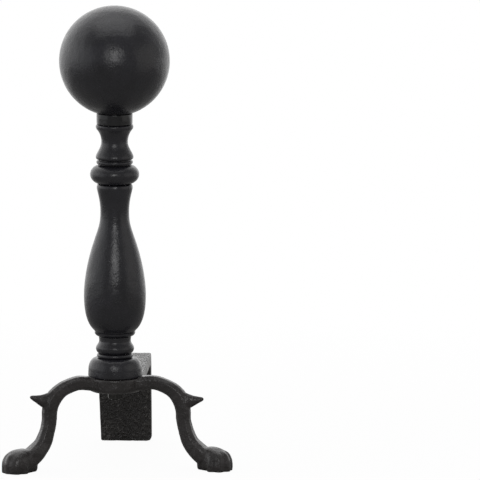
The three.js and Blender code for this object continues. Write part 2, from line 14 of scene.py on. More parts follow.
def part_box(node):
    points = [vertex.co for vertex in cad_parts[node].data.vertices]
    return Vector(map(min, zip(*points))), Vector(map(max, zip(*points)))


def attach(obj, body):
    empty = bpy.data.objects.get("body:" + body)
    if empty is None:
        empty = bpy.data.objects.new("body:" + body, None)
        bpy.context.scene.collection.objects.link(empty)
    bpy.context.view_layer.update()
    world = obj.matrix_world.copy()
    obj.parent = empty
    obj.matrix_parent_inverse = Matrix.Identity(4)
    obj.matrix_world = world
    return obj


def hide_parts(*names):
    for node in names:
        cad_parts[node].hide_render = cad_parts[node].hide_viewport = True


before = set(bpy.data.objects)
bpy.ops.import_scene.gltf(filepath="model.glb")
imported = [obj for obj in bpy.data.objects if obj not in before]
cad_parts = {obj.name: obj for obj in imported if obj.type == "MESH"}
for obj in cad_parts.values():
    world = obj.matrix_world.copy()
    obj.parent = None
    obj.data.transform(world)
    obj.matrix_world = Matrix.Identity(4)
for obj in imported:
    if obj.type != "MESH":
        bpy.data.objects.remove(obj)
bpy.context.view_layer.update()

MM = 0.001
ROD_LOW, ROD_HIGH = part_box("tie_rod")
AXIS = Vector(((ROD_LOW.x + ROD_HIGH.x) / 2, (ROD_LOW.y + ROD_HIGH.y) / 2, 0))

# ---- Sizes -----------------------------------------------------------------------------------

TURN = 2 * math.pi
SMOOTH_FACETS = 128
BORE = 4.5  # radius of the plain bores round the rod
TAPPED = 4.3  # radius of the tapped holes

HUB_LOW, HUB_TOP, HUB_RADIUS = 69.8, 83.4, 25.6
HUB_LOWER_EDGE, HUB_UPPER_EDGE = 4.6, 1.3
HUB_RECESS_RADIUS, HUB_RECESS_DEPTH = 10, 4.2  # round the washers
CAP_SEAT_RADIUS = 25.5  # between the leg roots
SPLAY = math.radians(21)

BAR_WIDTH, BAR_THICKNESS, BAR_DRAFT = 50.2, 10.5, 0.3
BAR_START, BAR_HUB_GAP = 14, 0.6
REAR_REACH, REAR_THICKNESS, REAR_FILLET = 145.5, 12, 5
REAR_TOE_WIDTH, REAR_TOE_LEAN = 48.2, 1.7
LOG_REST_TURN = math.radians(6.6)
TONGUE_WIDTH, TONGUE_THICKNESS = 30, 4.6

NUT_ACROSS_FLATS, NUT_HEIGHT = 13, 6.5
ROD_RADIUS, THREAD_PITCH, THREAD_DEPTH = 4.0, 1.25, 0.55


# ---- Helpers: meshes ---------------------------------------------------------------------------

def place(point):
    """Millimetres from the column's axis and the floor, as a point in the frame."""
    return AXIS + Vector(point) * MM


def new_piece(name, bm, material, node, smooth_angle=35):
    """Turns a bmesh in millimetres into a piece that stands for a CAD node."""
    bmesh.ops.recalc_face_normals(bm, faces=bm.faces)
    for vert in bm.verts:
        vert.co = place(vert.co)
    mesh = bpy.data.meshes.new(name)
    bm.to_mesh(mesh)
    bm.free()
    piece = bpy.data.objects.new(name, mesh)
    bpy.context.scene.collection.objects.link(piece)
    mesh.materials.append(material)
    mesh.shade_smooth()
    mesh.set_sharp_from_angle(angle=math.radians(smooth_angle))
    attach(piece, "root")
    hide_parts(node)
    return piece


def lathed(profile, base, facets=SMOOTH_FACETS):
    """Turns a closed loop of (radius, height) points, or one that ends on the axis, about Z."""
    bm = bmesh.new()
    rings = []
    for radius, height in profile:
        if radius < 1e-6:
            rings.append([bm.verts.new((0, 0, base + height))])
            continue
        ring = []
        for i in range(facets):
            angle = TURN * i / facets
            ring.append(bm.verts.new((radius * math.cos(angle), radius * math.sin(angle), base + height)))
        rings.append(ring)
    closed = len(rings[0]) > 1 and len(rings[-1]) > 1
    pairs = list(zip(rings, rings[1:]))
    if closed:
        pairs.append((rings[-1], rings[0]))
    for low, high in pairs:
        for i in range(facets):
            j = (i + 1) % facets
            corners = []
            for vert in (low[i % len(low)], low[j % len(low)], high[j % len(high)], high[i % len(high)]):
                if vert not in corners:
                    corners.append(vert)
            if len(corners) > 2:
                bm.faces.new(corners)
    return bm


def bezier(start, pull_a, pull_b, end, steps=14):
    """Points along a cubic curve, without its first one."""
    points = []
    for i in range(1, steps + 1):
        t = i / steps
        u = 1 - t
        points.append(tuple(
            u ** 3 * a + 3 * u * u * t * b + 3 * u * t * t * c + t ** 3 * d
            for a, b, c, d in zip(start, pull_a, pull_b, end)
        ))
    return points


def bend(start, pull, end, steps=8):
    """Points along a curve with a single pull, without its first one."""
    pull_a = tuple(a + (p - a) * 2 / 3 for a, p in zip(start, pull))
    pull_b = tuple(b + (p - b) * 2 / 3 for b, p in zip(end, pull))
    return bezier(start, pull_a, pull_b, end, steps)


def arc(centre, radius_x, radius_y, start, end, steps=8):
    """Points along an ellipse's arc, angles in degrees."""
    points = []
    for i in range(steps + 1):
        angle = math.radians(start + (end - start) * i / steps)
        points.append((centre[0] + radius_x * math.cos(angle), centre[1] + radius_y * math.sin(angle)))
    return points


def bored(outside):
    """Closes an outside that runs from bottom to top round the rod's bore."""
    return [(BORE, outside[0][1]), *outside, (BORE, outside[-1][1])]


def swept(bm, stations):
    """A tube through rings of points; each end closes on its ring's middle."""
    rings = [[bm.verts.new(point) for point in station] for station in stations]
    count = len(rings[0])
    for low, high in zip(rings, rings[1:]):
        for i in range(count):
            j = (i + 1) % count
            bm.faces.new((low[i], low[j], high[j], high[i]))
    for ring in (rings[0], rings[-1]):
        tip = bm.verts.new(sum((vert.co for vert in ring), Vector()) / count)
        for i in range(count):
            bm.faces.new((ring[i], ring[(i + 1) % count], tip))


def oval(centre, side, up, half_width, half_height, count=20, roundness=2.0):
    """Points round an ellipse that stands on two unit vectors; a higher exponent is squarer."""
    points = []
    for i in range(count):
        angle = TURN * i / count
        across, along = math.cos(angle), math.sin(angle)
        across = math.copysign(abs(across) ** (2 / roundness), across)
        along = math.copysign(abs(along) ** (2 / roundness), along)
        points.append(centre + side * half_width * across + up * half_height * along)
    return points


def chamfered(centre, side, up, half_width, half_height, chamfer):
    """Points round a rectangle with cut corners."""
    corners = []
    for sx, sy in ((1, 1), (-1, 1), (-1, -1), (1, -1)):
        first = (sx * half_width, sy * (half_height - chamfer))
        second = (sx * (half_width - chamfer), sy * half_height)
        corners += [first, second] if sx * sy > 0 else [second, first]
    return [centre + side * x + up * y for x, y in corners]


def through(points, steps):
    """Points on a smooth curve through the given ones (tuples of any length)."""
    line = []
    count = len(points)
    for k in range(count - 1):
        p0, p1, p2, p3 = points[max(k - 1, 0)], points[k], points[k + 1], points[min(k + 2, count - 1)]
        for i in range(steps):
            t = i / steps
            line.append(tuple(
                b + 0.5 * t * (c - a + t * (2 * a - 5 * b + 4 * c - d + t * (3 * b - a - 3 * c + d)))
                for a, b, c, d in zip(p0, p1, p2, p3)
            ))
    line.append(tuple(points[-1]))
    return line


def temporary(bm, name="temporary"):
    mesh = bpy.data.meshes.new(name)
    bm.to_mesh(mesh)
    bm.free()
    thing = bpy.data.objects.new(name, mesh)
    bpy.context.scene.collection.objects.link(thing)
    return thing


def evaluated(thing):
    """The mesh of an object with its modifiers, as a bmesh; the object goes."""
    graph = bpy.context.evaluated_depsgraph_get()
    bm = bmesh.new()
    bm.from_mesh(thing.evaluated_get(graph).to_mesh())
    thing.evaluated_get(graph).to_mesh_clear()
    mesh = thing.data
    bpy.data.objects.remove(thing)
    bpy.data.meshes.remove(mesh)
    return bm


def fused(bm, voxel, smoothing):
    """Melts overlapping closed shapes into one skin, with soft inner corners as in a casting."""
    thing = temporary(bm)
    remesh = thing.modifiers.new("remesh", "REMESH")
    remesh.mode = "VOXEL"
    remesh.voxel_size = voxel
    remesh.adaptivity = 0
    if smoothing:
        smooth = thing.modifiers.new("smooth", "SMOOTH")
        smooth.factor = 0.5
        smooth.iterations = smoothing
    return evaluated(thing)


def cut(bm, cutters):
    """Takes closed shapes, each a bmesh, out of a bmesh."""
    thing = temporary(bm)
    helpers = []
    for cutter in cutters:
        bmesh.ops.recalc_face_normals(cutter, faces=cutter.faces)
        helper = temporary(cutter, "cutter")
        helpers.append(helper)
        boolean = thing.modifiers.new("cut", "BOOLEAN")
        boolean.operation = "DIFFERENCE"
        boolean.solver = "EXACT"
        boolean.object = helper
    result = evaluated(thing)
    for helper in helpers:
        mesh = helper.data
        bpy.data.objects.remove(helper)
        bpy.data.meshes.remove(mesh)
    return result


def block(low, high):
    bm = bmesh.new()
    low, high = Vector(low), Vector(high)
    middle = Matrix.Translation((low + high) / 2)
    bmesh.ops.create_cube(bm, size=1, matrix=middle @ Matrix.Diagonal((*(high - low), 1)))
    return bm


def round_cutter(radius, low, high, facets=96):
    return lathed([(0, low), (radius, low), (radius, high), (0, high)], 0, facets)


def turn_about_column(bm, angle):
    bmesh.ops.rotate(bm, cent=(0, 0, 0), matrix=Matrix.Rotation(angle, 3, "Z"), verts=bm.verts)


# ---- Helpers: materials --------------------------------------------------------------------------

def link(tree, source, target):
    tree.links.new(source, target)


def noise_node(tree, coordinates, scale, detail=4, roughness=0.6):
    node = tree.nodes.new("ShaderNodeTexNoise")
    node.inputs["Scale"].default_value = scale
    node.inputs["Detail"].default_value = detail
    node.inputs["Roughness"].default_value = roughness
    link(tree, coordinates, node.inputs["Vector"])
    return node


def mapped(tree, value, from_min, from_max, to_min, to_max, interpolation="LINEAR"):
    node = tree.nodes.new("ShaderNodeMapRange")
    node.interpolation_type = interpolation
    node.inputs["From Min"].default_value = from_min
    node.inputs["From Max"].default_value = from_max
    node.inputs["To Min"].default_value = to_min
    node.inputs["To Max"].default_value = to_max
    link(tree, value, node.inputs["Value"])
    return node.outputs["Result"]


def bump_node(tree, height, strength, distance, normal=None):
    node = tree.nodes.new("ShaderNodeBump")
    node.inputs["Strength"].default_value = strength
    node.inputs["Distance"].default_value = distance
    link(tree, height, node.inputs["Height"])
    if normal:
        link(tree, normal, node.inputs["Normal"])
    return node.outputs["Normal"]


# scales are per metre of the object
MOTTLE_SCALE, MOTTLE_RANGE = 55, (0.72, 1.35)  # and the share of the tone it runs between
GLOSS_SCALE, LUMP_SCALE = 140, 95
# how far in from the edges the edge colour reaches: worn paint on the iron, a painted glint on the steel
EDGE_POINTINESS, EDGE_WEAR_AND_GLINT = (0.53, 0.62), 0.45
# painted highlights on the tops of the grain: the span of the grain noise they cover, and their pale tone
GRAIN_HIGHLIGHT_LEVELS, GRAIN_HIGHLIGHT_TONE = (0.55, 0.75), (0.150, 0.142, 0.135)
NOISE_MIDDLE = (0.3, 0.7)  # where most of a noise texture's values lie
FLANK_TURN = (0.6, 0.9)  # of the sideways part of the normal


def black_paint(name, tone, roughness, spread, grain, grain_depth, lumps, grain_highlights=0.0, metallic=0.0,
                wear_and_glint=(0.055, 0.054, 0.055), flank_grain=1.0):
    """Black paint over iron: mottled tone and gloss, fine grain with painted highlights on its tops, edges
    paler from wear and on steel a painted glint, and the casting's low lumps.

    The spread is of the roughness; grain is a scale, grain_depth and lumps are heights in metres;
    flank_grain is the share of the grain left on faces that look sideways. The edge colour stands
    for worn paint on the iron and is a painted glint on the steel.
    """
    material = bpy.data.materials.new(name)
    material.use_nodes = True
    tree = material.node_tree
    shader = tree.nodes["Principled BSDF"]
    shader.inputs["Metallic"].default_value = metallic
    coordinates = tree.nodes.new("ShaderNodeTexCoord").outputs["Object"]

    mottle = noise_node(tree, coordinates, MOTTLE_SCALE, 5, 0.62)
    blotches = mapped(tree, mottle.outputs["Fac"], *NOISE_MIDDLE, 0.0, 1.0)
    mix = tree.nodes.new("ShaderNodeMix")
    mix.data_type = "RGBA"
    dark, pale = (tuple(share * c for c in tone) for share in MOTTLE_RANGE)
    mix.inputs[6].default_value = (*dark, 1)
    mix.inputs[7].default_value = (*pale, 1)
    link(tree, blotches, mix.inputs[0])

    # paint worn a little thinner and paler on the edges; on the steel parts the much paler edge colour is a
    # painted glint
    pointiness = tree.nodes.new("ShaderNodeNewGeometry").outputs["Pointiness"]
    edge = mapped(tree, pointiness, *EDGE_POINTINESS, 0.0, EDGE_WEAR_AND_GLINT)
    worn_and_glinting = tree.nodes.new("ShaderNodeMix")
    worn_and_glinting.data_type = "RGBA"
    worn_and_glinting.inputs[7].default_value = (*wear_and_glint, 1)
    link(tree, edge, worn_and_glinting.inputs[0])
    link(tree, mix.outputs[2], worn_and_glinting.inputs[6])

    # painted highlights: the tops of the grain are mixed towards a pale tone, as if they catch the light
    fine = noise_node(tree, coordinates, grain, 3, 0.6)
    grain_highlight_mix = tree.nodes.new("ShaderNodeMix")
    grain_highlight_mix.data_type = "RGBA"
    grain_highlight_mix.inputs[7].default_value = (*GRAIN_HIGHLIGHT_TONE, 1)
    link(tree, mapped(tree, fine.outputs["Fac"], *GRAIN_HIGHLIGHT_LEVELS, 0.0, grain_highlights), grain_highlight_mix.inputs[0])
    link(tree, worn_and_glinting.outputs[2], grain_highlight_mix.inputs[6])
    link(tree, grain_highlight_mix.outputs[2], shader.inputs["Base Color"])

    patches = noise_node(tree, coordinates, GLOSS_SCALE, 3, 0.55)
    gloss = mapped(tree, patches.outputs["Fac"], *NOISE_MIDDLE, roughness - spread, roughness + spread)
    link(tree, gloss, shader.inputs["Roughness"])

    low = noise_node(tree, coordinates, LUMP_SCALE, 2, 0.5)
    normal = bump_node(tree, low.outputs["Fac"], 1.0, lumps)
    # faces that look sideways may be smoother
    facing = tree.nodes.new("ShaderNodeSeparateXYZ")
    link(tree, tree.nodes.new("ShaderNodeTexCoord").outputs["Normal"], facing.inputs[0])
    sideways = tree.nodes.new("ShaderNodeMath")
    sideways.operation = "ABSOLUTE"
    link(tree, facing.outputs["X"], sideways.inputs[0])
    height = tree.nodes.new("ShaderNodeMath")
    height.operation = "MULTIPLY"
    link(tree, fine.outputs["Fac"], height.inputs[0])
    link(tree, mapped(tree, sideways.outputs[0], *FLANK_TURN, 1.0, flank_grain), height.inputs[1])
    normal = bump_node(tree, height.outputs[0], 1.0, grain_depth, normal)
    link(tree, normal, shader.inputs["Normal"])
    return material


# the eighth value is the share of painted highlight on the tops of the grain
turned_iron = black_paint("turned_iron", (0.0135, 0.0132, 0.0170), 0.27, 0.04, 560, 0.00022, 0.0005, 0.05)
gloss_iron = black_paint("gloss_iron", (0.0080, 0.0080, 0.0095), 0.17, 0.05, 560, 0.00010, 0.0005, 0.02)
cast_iron = black_paint("cast_iron", (0.0255, 0.0225, 0.0225), 0.28, 0.06, 430, 0.00045, 0.0010, 0.12)
rough_iron = black_paint(
    "rough_iron", (0.0260, 0.0232, 0.0224), 0.26, 0.08, 360, 0.00450, 0.0008, 0.95, flank_grain=0.03
)
# the pale edge colour here is a painted glint on the corners and rims of the nut and washers
black_steel = black_paint(
    "black_steel", (0.040, 0.039, 0.038), 0.15, 0.05, 900, 0.00004, 0.0001, 0.3, 0.7, wear_and_glint=(0.50, 0.49, 0.47)
)


# ---- Column castings -----------------------------------------------------------------------------

def base_of(node):
    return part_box(node)[0].z / MM


def ball_profile():
    """The hollow ball, with the tapped boss inside its foot."""
    radius, wall, seat, boss, boss_height = 51.5, 8, 17, 10, 18
    drop = math.sqrt(radius ** 2 - seat ** 2)
    outside = arc((0, drop), radius, radius, 90, -math.degrees(math.acos(seat / radius)), 110)
    start = -math.degrees(math.acos(boss / (radius - wall)))
    inside = arc((0, drop), radius - wall, radius - wall, start, 90, 24)
    outside[0] = (0, drop + radius)
    inside[-1] = (0, drop + radius - wall)
    # the seat's edge is broken, which leaves the dark line above the collar
    outside += [(seat - 0.5, 0.15), (seat - 0.9, 0.0)]
    return [*outside, (TAPPED, 0), (TAPPED, boss_height), (boss, boss_height), *inside]


def collar_profile():
    radius, height, edge = 16.85, 10.2, 0.8
    inner = radius - edge
    lower = arc((inner, edge), edge, edge, -90, 0, 8)
    upper = arc((inner, height - edge), edge, edge, 0, 90, 8)
    return bored([*lower, *upper])


def spool_profile():
    outside = [(15.6, 0.0)]
    outside += bend((15.6, 0.0), (17.5, 0.4), (17.6, 2.2), 8)
    outside += bezier((17.6, 2.2), (17.6, 5.5), (12.4, 11.1), (12.4, 16.1), 20)
    outside += bezier((12.4, 16.1), (12.4, 21.8), (14.3, 25.5), (16.4, 28.1), 18)
    outside += bend((16.4, 28.1), (17.5, 29.2), (17.5, 31.0), 6)
    outside += bend((17.5, 31.0), (17.5, 32.7), (16.0, 32.9), 9)
    return bored(outside)


def spacer_profile():
    radius, height, seat, step, edge = 17.0, 4.3, 14.4, 0.6, 1.2
    inner = radius - edge
    outside = [(seat, 0), (seat, step)]
    outside += arc((inner, step + edge), edge, edge, -90, 0, 8)
    outside += arc((inner, height - step - edge), edge, edge, 0, 90, 8)
    outside += [(seat, height - step), (seat, height)]
    return bored(outside)


def torus_profile():
    radius, half_height, round_width, round_height = 22.9, 8.95, 10.9, 9.2
    reach = math.degrees(math.asin(half_height / round_height))
    return bored(arc((radius - round_width, half_height), round_width, round_height, -reach, reach, 32))


def baluster_profile():
    """Foot lip, quirk, belly, taper, neck and top lip, round a core that starts above the foot."""
    height, foot, lip, belly, neck, top = 142.8, 16.0, 19.0, 28.9, 13.45, 16.8
    outside = [(foot, 0.0)]
    outside += bend((foot, 0.0), (18.8, 0.9), (lip, 3.5), 10)
    outside += bend((lip, 3.5), (18.1, 3.8), (18.1, 4.0), 3)
    outside += bend((18.1, 4.0), (18.3, 4.3), (lip, 4.6), 3)
    outside += bezier((lip, 4.6), (19.0, 6.4), (belly, 9.1), (belly, 38.0), 30)
    outside += bezier((belly, 38.0), (belly, 40.4), (29.2, 59.7), (19.94, 87.8), 36)
    outside += bezier((19.94, 87.8), (15.0, 102.8), (neck, 105.1), (neck, 117.0), 24)
    outside += bezier((neck, 117.0), (neck, 128.0), (16.3, 135.3), (top, 139.4), 20)
    outside += bend((top, 139.4), (top, height), (15.2, height), 9)
    core = [(BORE, 126.4), (5.2, 124.0), (5.1, 112.0), (9.5, 92.0), (16.0, 70.0), (20.0, 48.0)]
    core += [(20.4, 36.0), (17.5, 24.0), (12.0, 16.0), (BORE, 16.0)]
    return [*bored(outside), *core]


def neck_profile():
    outside = [(15.3, 0.0)]
    outside += bend((15.3, 0.0), (17.7, 1.4), (17.8, 4.7), 12)
    outside += bezier((17.8, 4.7), (17.8, 7.1), (14.8, 9.3), (14.8, 11.7), 16)
    outside += bend((14.8, 11.7), (14.8, 14.3), (15.2, 15.2), 6)
    outside += bend((15.2, 15.2), (15.2, 15.8), (14.2, 16.0), 5)
    return bored(outside)


def cap_profile():
    """Skirt, dome, quirk and bead."""
    outside = [(23.5, 0.0)]
    outside += bend((23.5, 0.0), (25.1, 0.1), (25.1, 1.6), 6)
    outside += bezier((25.1, 1.6), (25.1, 3.4), (25.0, 5.0), (24.9, 6.6), 6)
    outside += arc((17.9, 6.6), 7.0, 11.2, 0, 86, 26)[1:]
    outside += [(16.6, 17.85), (15.7, 17.95), (15.3, 18.2)]
    outside += bend((15.3, 18.2), (16.9, 18.3), (16.9, 19.9), 8)
    outside += bend((16.9, 19.9), (16.9, 21.7), (15.2, 21.9), 8)
    return bored(outside)


for node, profile, material, slot in (
    ("ball_finial", ball_profile(), turned_iron, "turned_iron"),
    ("finial_collar", collar_profile(), gloss_iron, "gloss_iron"),
    ("upper_spool", spool_profile(), turned_iron, "turned_iron"),
    ("spacer_ring", spacer_profile(), turned_iron, "turned_iron"),
    ("torus_ring", torus_profile(), turned_iron, "turned_iron"),
    ("baluster", baluster_profile(), turned_iron, "turned_iron"),
    ("base_neck", neck_profile(), turned_iron, "turned_iron"),
    ("base_cap", cap_profile(), turned_iron, "turned_iron"),
):
    new_piece(node + "_skin", lathed(profile, base_of(node)), material, node)


# ---- Leg casting ---------------------------------------------------------------------------------

# outward, height, thickness: the middle line of a leg
LEG_LINE = (
    (12.0, 76.4, 13.0), (26.0, 78.6, 12.8), (38.0, 79.7, 12.8), (50.0, 76.4, 13.2), (58.6, 71.4, 14.0),
    (64.4, 64.0, 14.8), (66.6, 55.2, 13.8), (67.6, 43.0, 13.2), (72.9, 26.7, 14.2), (80.8, 17.3, 15.6),
    (88.5, 11.2, 16.0),
)
LEG_HALF_WIDTH, LEG_CHAMFER = 6.25, 3.2
ROOT_START, ROOT_FLARE = 48.0, 3.4  # where a leg starts to widen towards the hub, and by how much
ANKLE_START, ANKLE_END, ANKLE_FLARE = 68.0, 82.0, 3.0  # and towards the paw
# outward, height, half height, half width: the horn outside the knee
SPUR_LINE = (
    (61.0, 64.0, 9.0, 5.6), (68.0, 63.6, 8.6, 5.2), (72.5, 63.9, 7.0, 4.4), (76.7, 64.6, 5.3, 3.6),
    (80.5, 65.7, 3.8, 2.9), (83.7, 66.7, 2.7, 2.2), (85.8, 67.2, 1.9, 1.6), (86.8, 67.3, 1.1, 0.9),
)
PAW_RADIUS, PAW_TURN = 97, math.radians(20)
# forward from the paw's middle, half width, height of its back: from the heel to the toes
PAW_LINE = (
    (-16.2, 3.5, 7.0), (-15.2, 7.0, 11.0), (-12.5, 9.4, 17.0), (-8.0, 10.6, 20.8), (-3.0, 11.4, 21.6),
    (3.0, 11.9, 20.9), (7.6, 11.7, 19.4), (11.4, 10.4, 16.6), (14.2, 7.8, 13.0), (15.6, 4.2, 9.0),
)
PAW_ROUNDNESS = 2.5  # exponent of its cross-section
PAW_SWELLS = {1: 0.0, -1: 1.0}  # the left paw's toes are all but lost in the casting
TOE_FAN = math.radians(33)
TOE_REACHES = (13.4, 16.2, 16.8, 16.2, 13.4)  # to the paw's front face, at each toe
# inwards from that face, height, half width, half depth: a toe, from its knuckle to below the floor
TOE_LINE = (
    (8.6, 16.2, 3.2, 3.2), (5.2, 13.8, 3.9, 3.9), (3.5, 9.6, 4.3, 4.3),
    (3.1, 5.2, 4.4, 4.4), (3.1, 1.2, 4.3, 4.3), (3.4, -3.0, 4.0, 4.0),
)
SPUR_LIFTS = {1: -1.2, -1: 2.2}  # the two horns aren't quite level
SOFT_HEIGHT, SOFT_REACH, SOFT_ROUNDS = 32, 62, 3  # paws and ankles are rounded off below this


def leg_arm(bm):
    """The cabriole: a bar with broad chamfers that widens into the hub."""
    line = through(LEG_LINE, 8)
    stations = []
    for k, (reach, height, thickness) in enumerate(line):
        before, after = line[max(k - 1, 0)], line[min(k + 1, len(line) - 1)]
        along = Vector((after[0] - before[0], 0, after[1] - before[1])).normalized()
        up = Vector((-along.z, 0, along.x))
        share = max(0.0, (ROOT_START - reach) / (ROOT_START - HUB_RADIUS))
        ankle = max(0.0, (reach - ANKLE_START) / (ANKLE_END - ANKLE_START))
        half_width = LEG_HALF_WIDTH + ROOT_FLARE * min(share, 1.0) ** 2 + ANKLE_FLARE * min(ankle, 1.0)
        centre = Vector((reach, 0, height))
        stations.append(chamfered(centre, Vector((0, 1, 0)), up, half_width, thickness / 2, LEG_CHAMFER))
    swept(bm, stations)


def leg_spur(bm, lift):
    stations = []
    for reach, height, half_height, half_width in through(SPUR_LINE, 6):
        # the lift grows towards the tip
        rise = lift * (reach - SPUR_LINE[0][0]) / (SPUR_LINE[-1][0] - SPUR_LINE[0][0])
        centre = Vector((reach, 0, height + rise))
        stations.append(oval(centre, Vector((0, 1, 0)), Vector((0, 0, 1)), half_width, half_height, 16))
    swept(bm, stations)


def paw(side):
    """One rounded mass with five shallow toes, about the paw's middle."""
    swell = PAW_SWELLS[side]
    bm = bmesh.new()
    across, up = Vector((0, 1, 0)), Vector((0, 0, 1))
    stations = []
    for reach, half_width, top in through(PAW_LINE, 4):
        centre = Vector((reach + (swell if reach > 0 else 0), 0, 0.4 * top))
        stations.append(oval(centre, across, up, half_width + swell, 0.6 * top, 36, PAW_ROUNDNESS))
    swept(bm, stations)
    for i, front in enumerate(TOE_REACHES):
        angle = (i - (len(TOE_REACHES) - 1) / 2) * TOE_FAN
        out = Vector((math.cos(angle), math.sin(angle), 0))
        side = Vector((-out.y, out.x, 0))
        line = through(TOE_LINE, 5)
        stations = []
        for k, (inset, height, half_width, half_depth) in enumerate(line):
            before, after = line[max(k - 1, 0)], line[min(k + 1, len(line) - 1)]
            along = out * (before[0] - after[0]) + up * (after[1] - before[1])
            centre = out * (front - inset) + up * height
            stations.append(oval(centre, side, side.cross(along.normalized()), half_width, half_depth))
        swept(bm, stations)
    bmesh.ops.recalc_face_normals(bm, faces=bm.faces)
    return fused(bm, 0.8, 2)


def leg(side):
    bm = bmesh.new()
    leg_arm(bm)
    leg_spur(bm, SPUR_LIFTS[side])
    foot = paw(side)
    turn_about_column(foot, -PAW_TURN)
    bmesh.ops.translate(foot, vec=(PAW_RADIUS, 0, 0), verts=foot.verts)
    joined(bm, foot)
    turn_about_column(bm, -SPLAY)
    if side < 0:
        bmesh.ops.scale(bm, vec=(-1, 1, 1), verts=bm.verts)
        bmesh.ops.reverse_faces(bm, faces=bm.faces)
    return bm


def joined(bm, other):
    """Adds another bmesh to a bmesh."""
    mesh = bpy.data.meshes.new("joined")
    other.to_mesh(mesh)
    other.free()
    bm.from_mesh(mesh)
    bpy.data.meshes.remove(mesh)


def extruded(outline, path):
    """A closed outline of 3-D points, carried straight along a path."""
    bm = bmesh.new()
    near = [bm.verts.new(point) for point in outline]
    far = [bm.verts.new(Vector(point) + Vector(path)) for point in outline]
    for i in range(len(outline)):
        j = (i + 1) % len(outline)
        bm.faces.new((near[i], near[j], far[j], far[i]))
    bm.faces.new(near)
    bm.faces.new(far)
    bmesh.ops.recalc_face_normals(bm, faces=bm.faces)
    return bm


def tongue(half_width, low, high, length):
    """The log rest's tongue: round about the rod, straight behind it."""
    plan = [(half_width, length), *arc((0, 0), half_width, half_width, 0, -180, 32), (-half_width, length)]
    return extruded([(x, y, low) for x, y in plan], (0, 0, high - low))


# frequency per mm and height in mm of the unevenness of a sand casting's skin
LEG_LUMPS = ((0.11, 0.22), (0.35, 0.08))
BAR_PEBBLES = ((0.55, 0.20), (0.19, 0.08))
LEG_SINK, BAR_SINK = 0.12, 0.16  # the skin lies this deep, so that its lumps stay inside the true size


def unevenness(point, waves):
    """The summed noise at a point."""
    return sum(noise.noise(point * frequency) * height for frequency, height in waves)


def leg_casting():
    """Hub, legs, spurs and paws in one skin, then machined: sole, cap seat, bore and pocket."""
    low, high = HUB_LOWER_EDGE, HUB_UPPER_EDGE
    hub = [(0, HUB_LOW), *arc((HUB_RADIUS - low, HUB_LOW + low), low, low, -90, 0, 8)]
    hub += arc((HUB_RADIUS - high, HUB_TOP - high), high, high, 0, 90, 6)
    bm = lathed([*hub, (0, HUB_TOP)], 0, 96)
    joined(bm, leg(1))
    joined(bm, leg(-1))
    bmesh.ops.recalc_face_normals(bm, faces=bm.faces)
    bm = fused(bm, 0.7, 4)
    feet = [vert for vert in bm.verts if vert.co.z < SOFT_HEIGHT and vert.co.xy.length > SOFT_REACH]
    axes = {"use_axis_x": True, "use_axis_y": True, "use_axis_z": True}
    for _ in range(SOFT_ROUNDS):
        bmesh.ops.smooth_vert(bm, verts=feet, factor=0.5, **axes)
    for vert in bm.verts:
        vert.co += vert.normal * (unevenness(vert.co, LEG_LUMPS) - LEG_SINK)
    pocket = tongue(TONGUE_WIDTH / 2 + 0.4, HUB_TOP - TONGUE_THICKNESS - 0.3, HUB_TOP + 20, HUB_RADIUS + 5)
    turn_about_column(pocket, -LOG_REST_TURN)
    return cut(bm, [
        block((-200, -200, -50), (200, 200, 0)),
        round_cutter(CAP_SEAT_RADIUS, HUB_TOP, HUB_TOP + 20),
        round_cutter(BORE, HUB_LOW - 10, HUB_TOP + 10, 48),
        round_cutter(HUB_RECESS_RADIUS, HUB_LOW - 10, HUB_LOW + HUB_RECESS_DEPTH, 64),
        pocket,
    ])


new_piece("leg_casting_skin", leg_casting(), cast_iron, "leg_casting", 50)


# ---- Log rest ------------------------------------------------------------------------------------

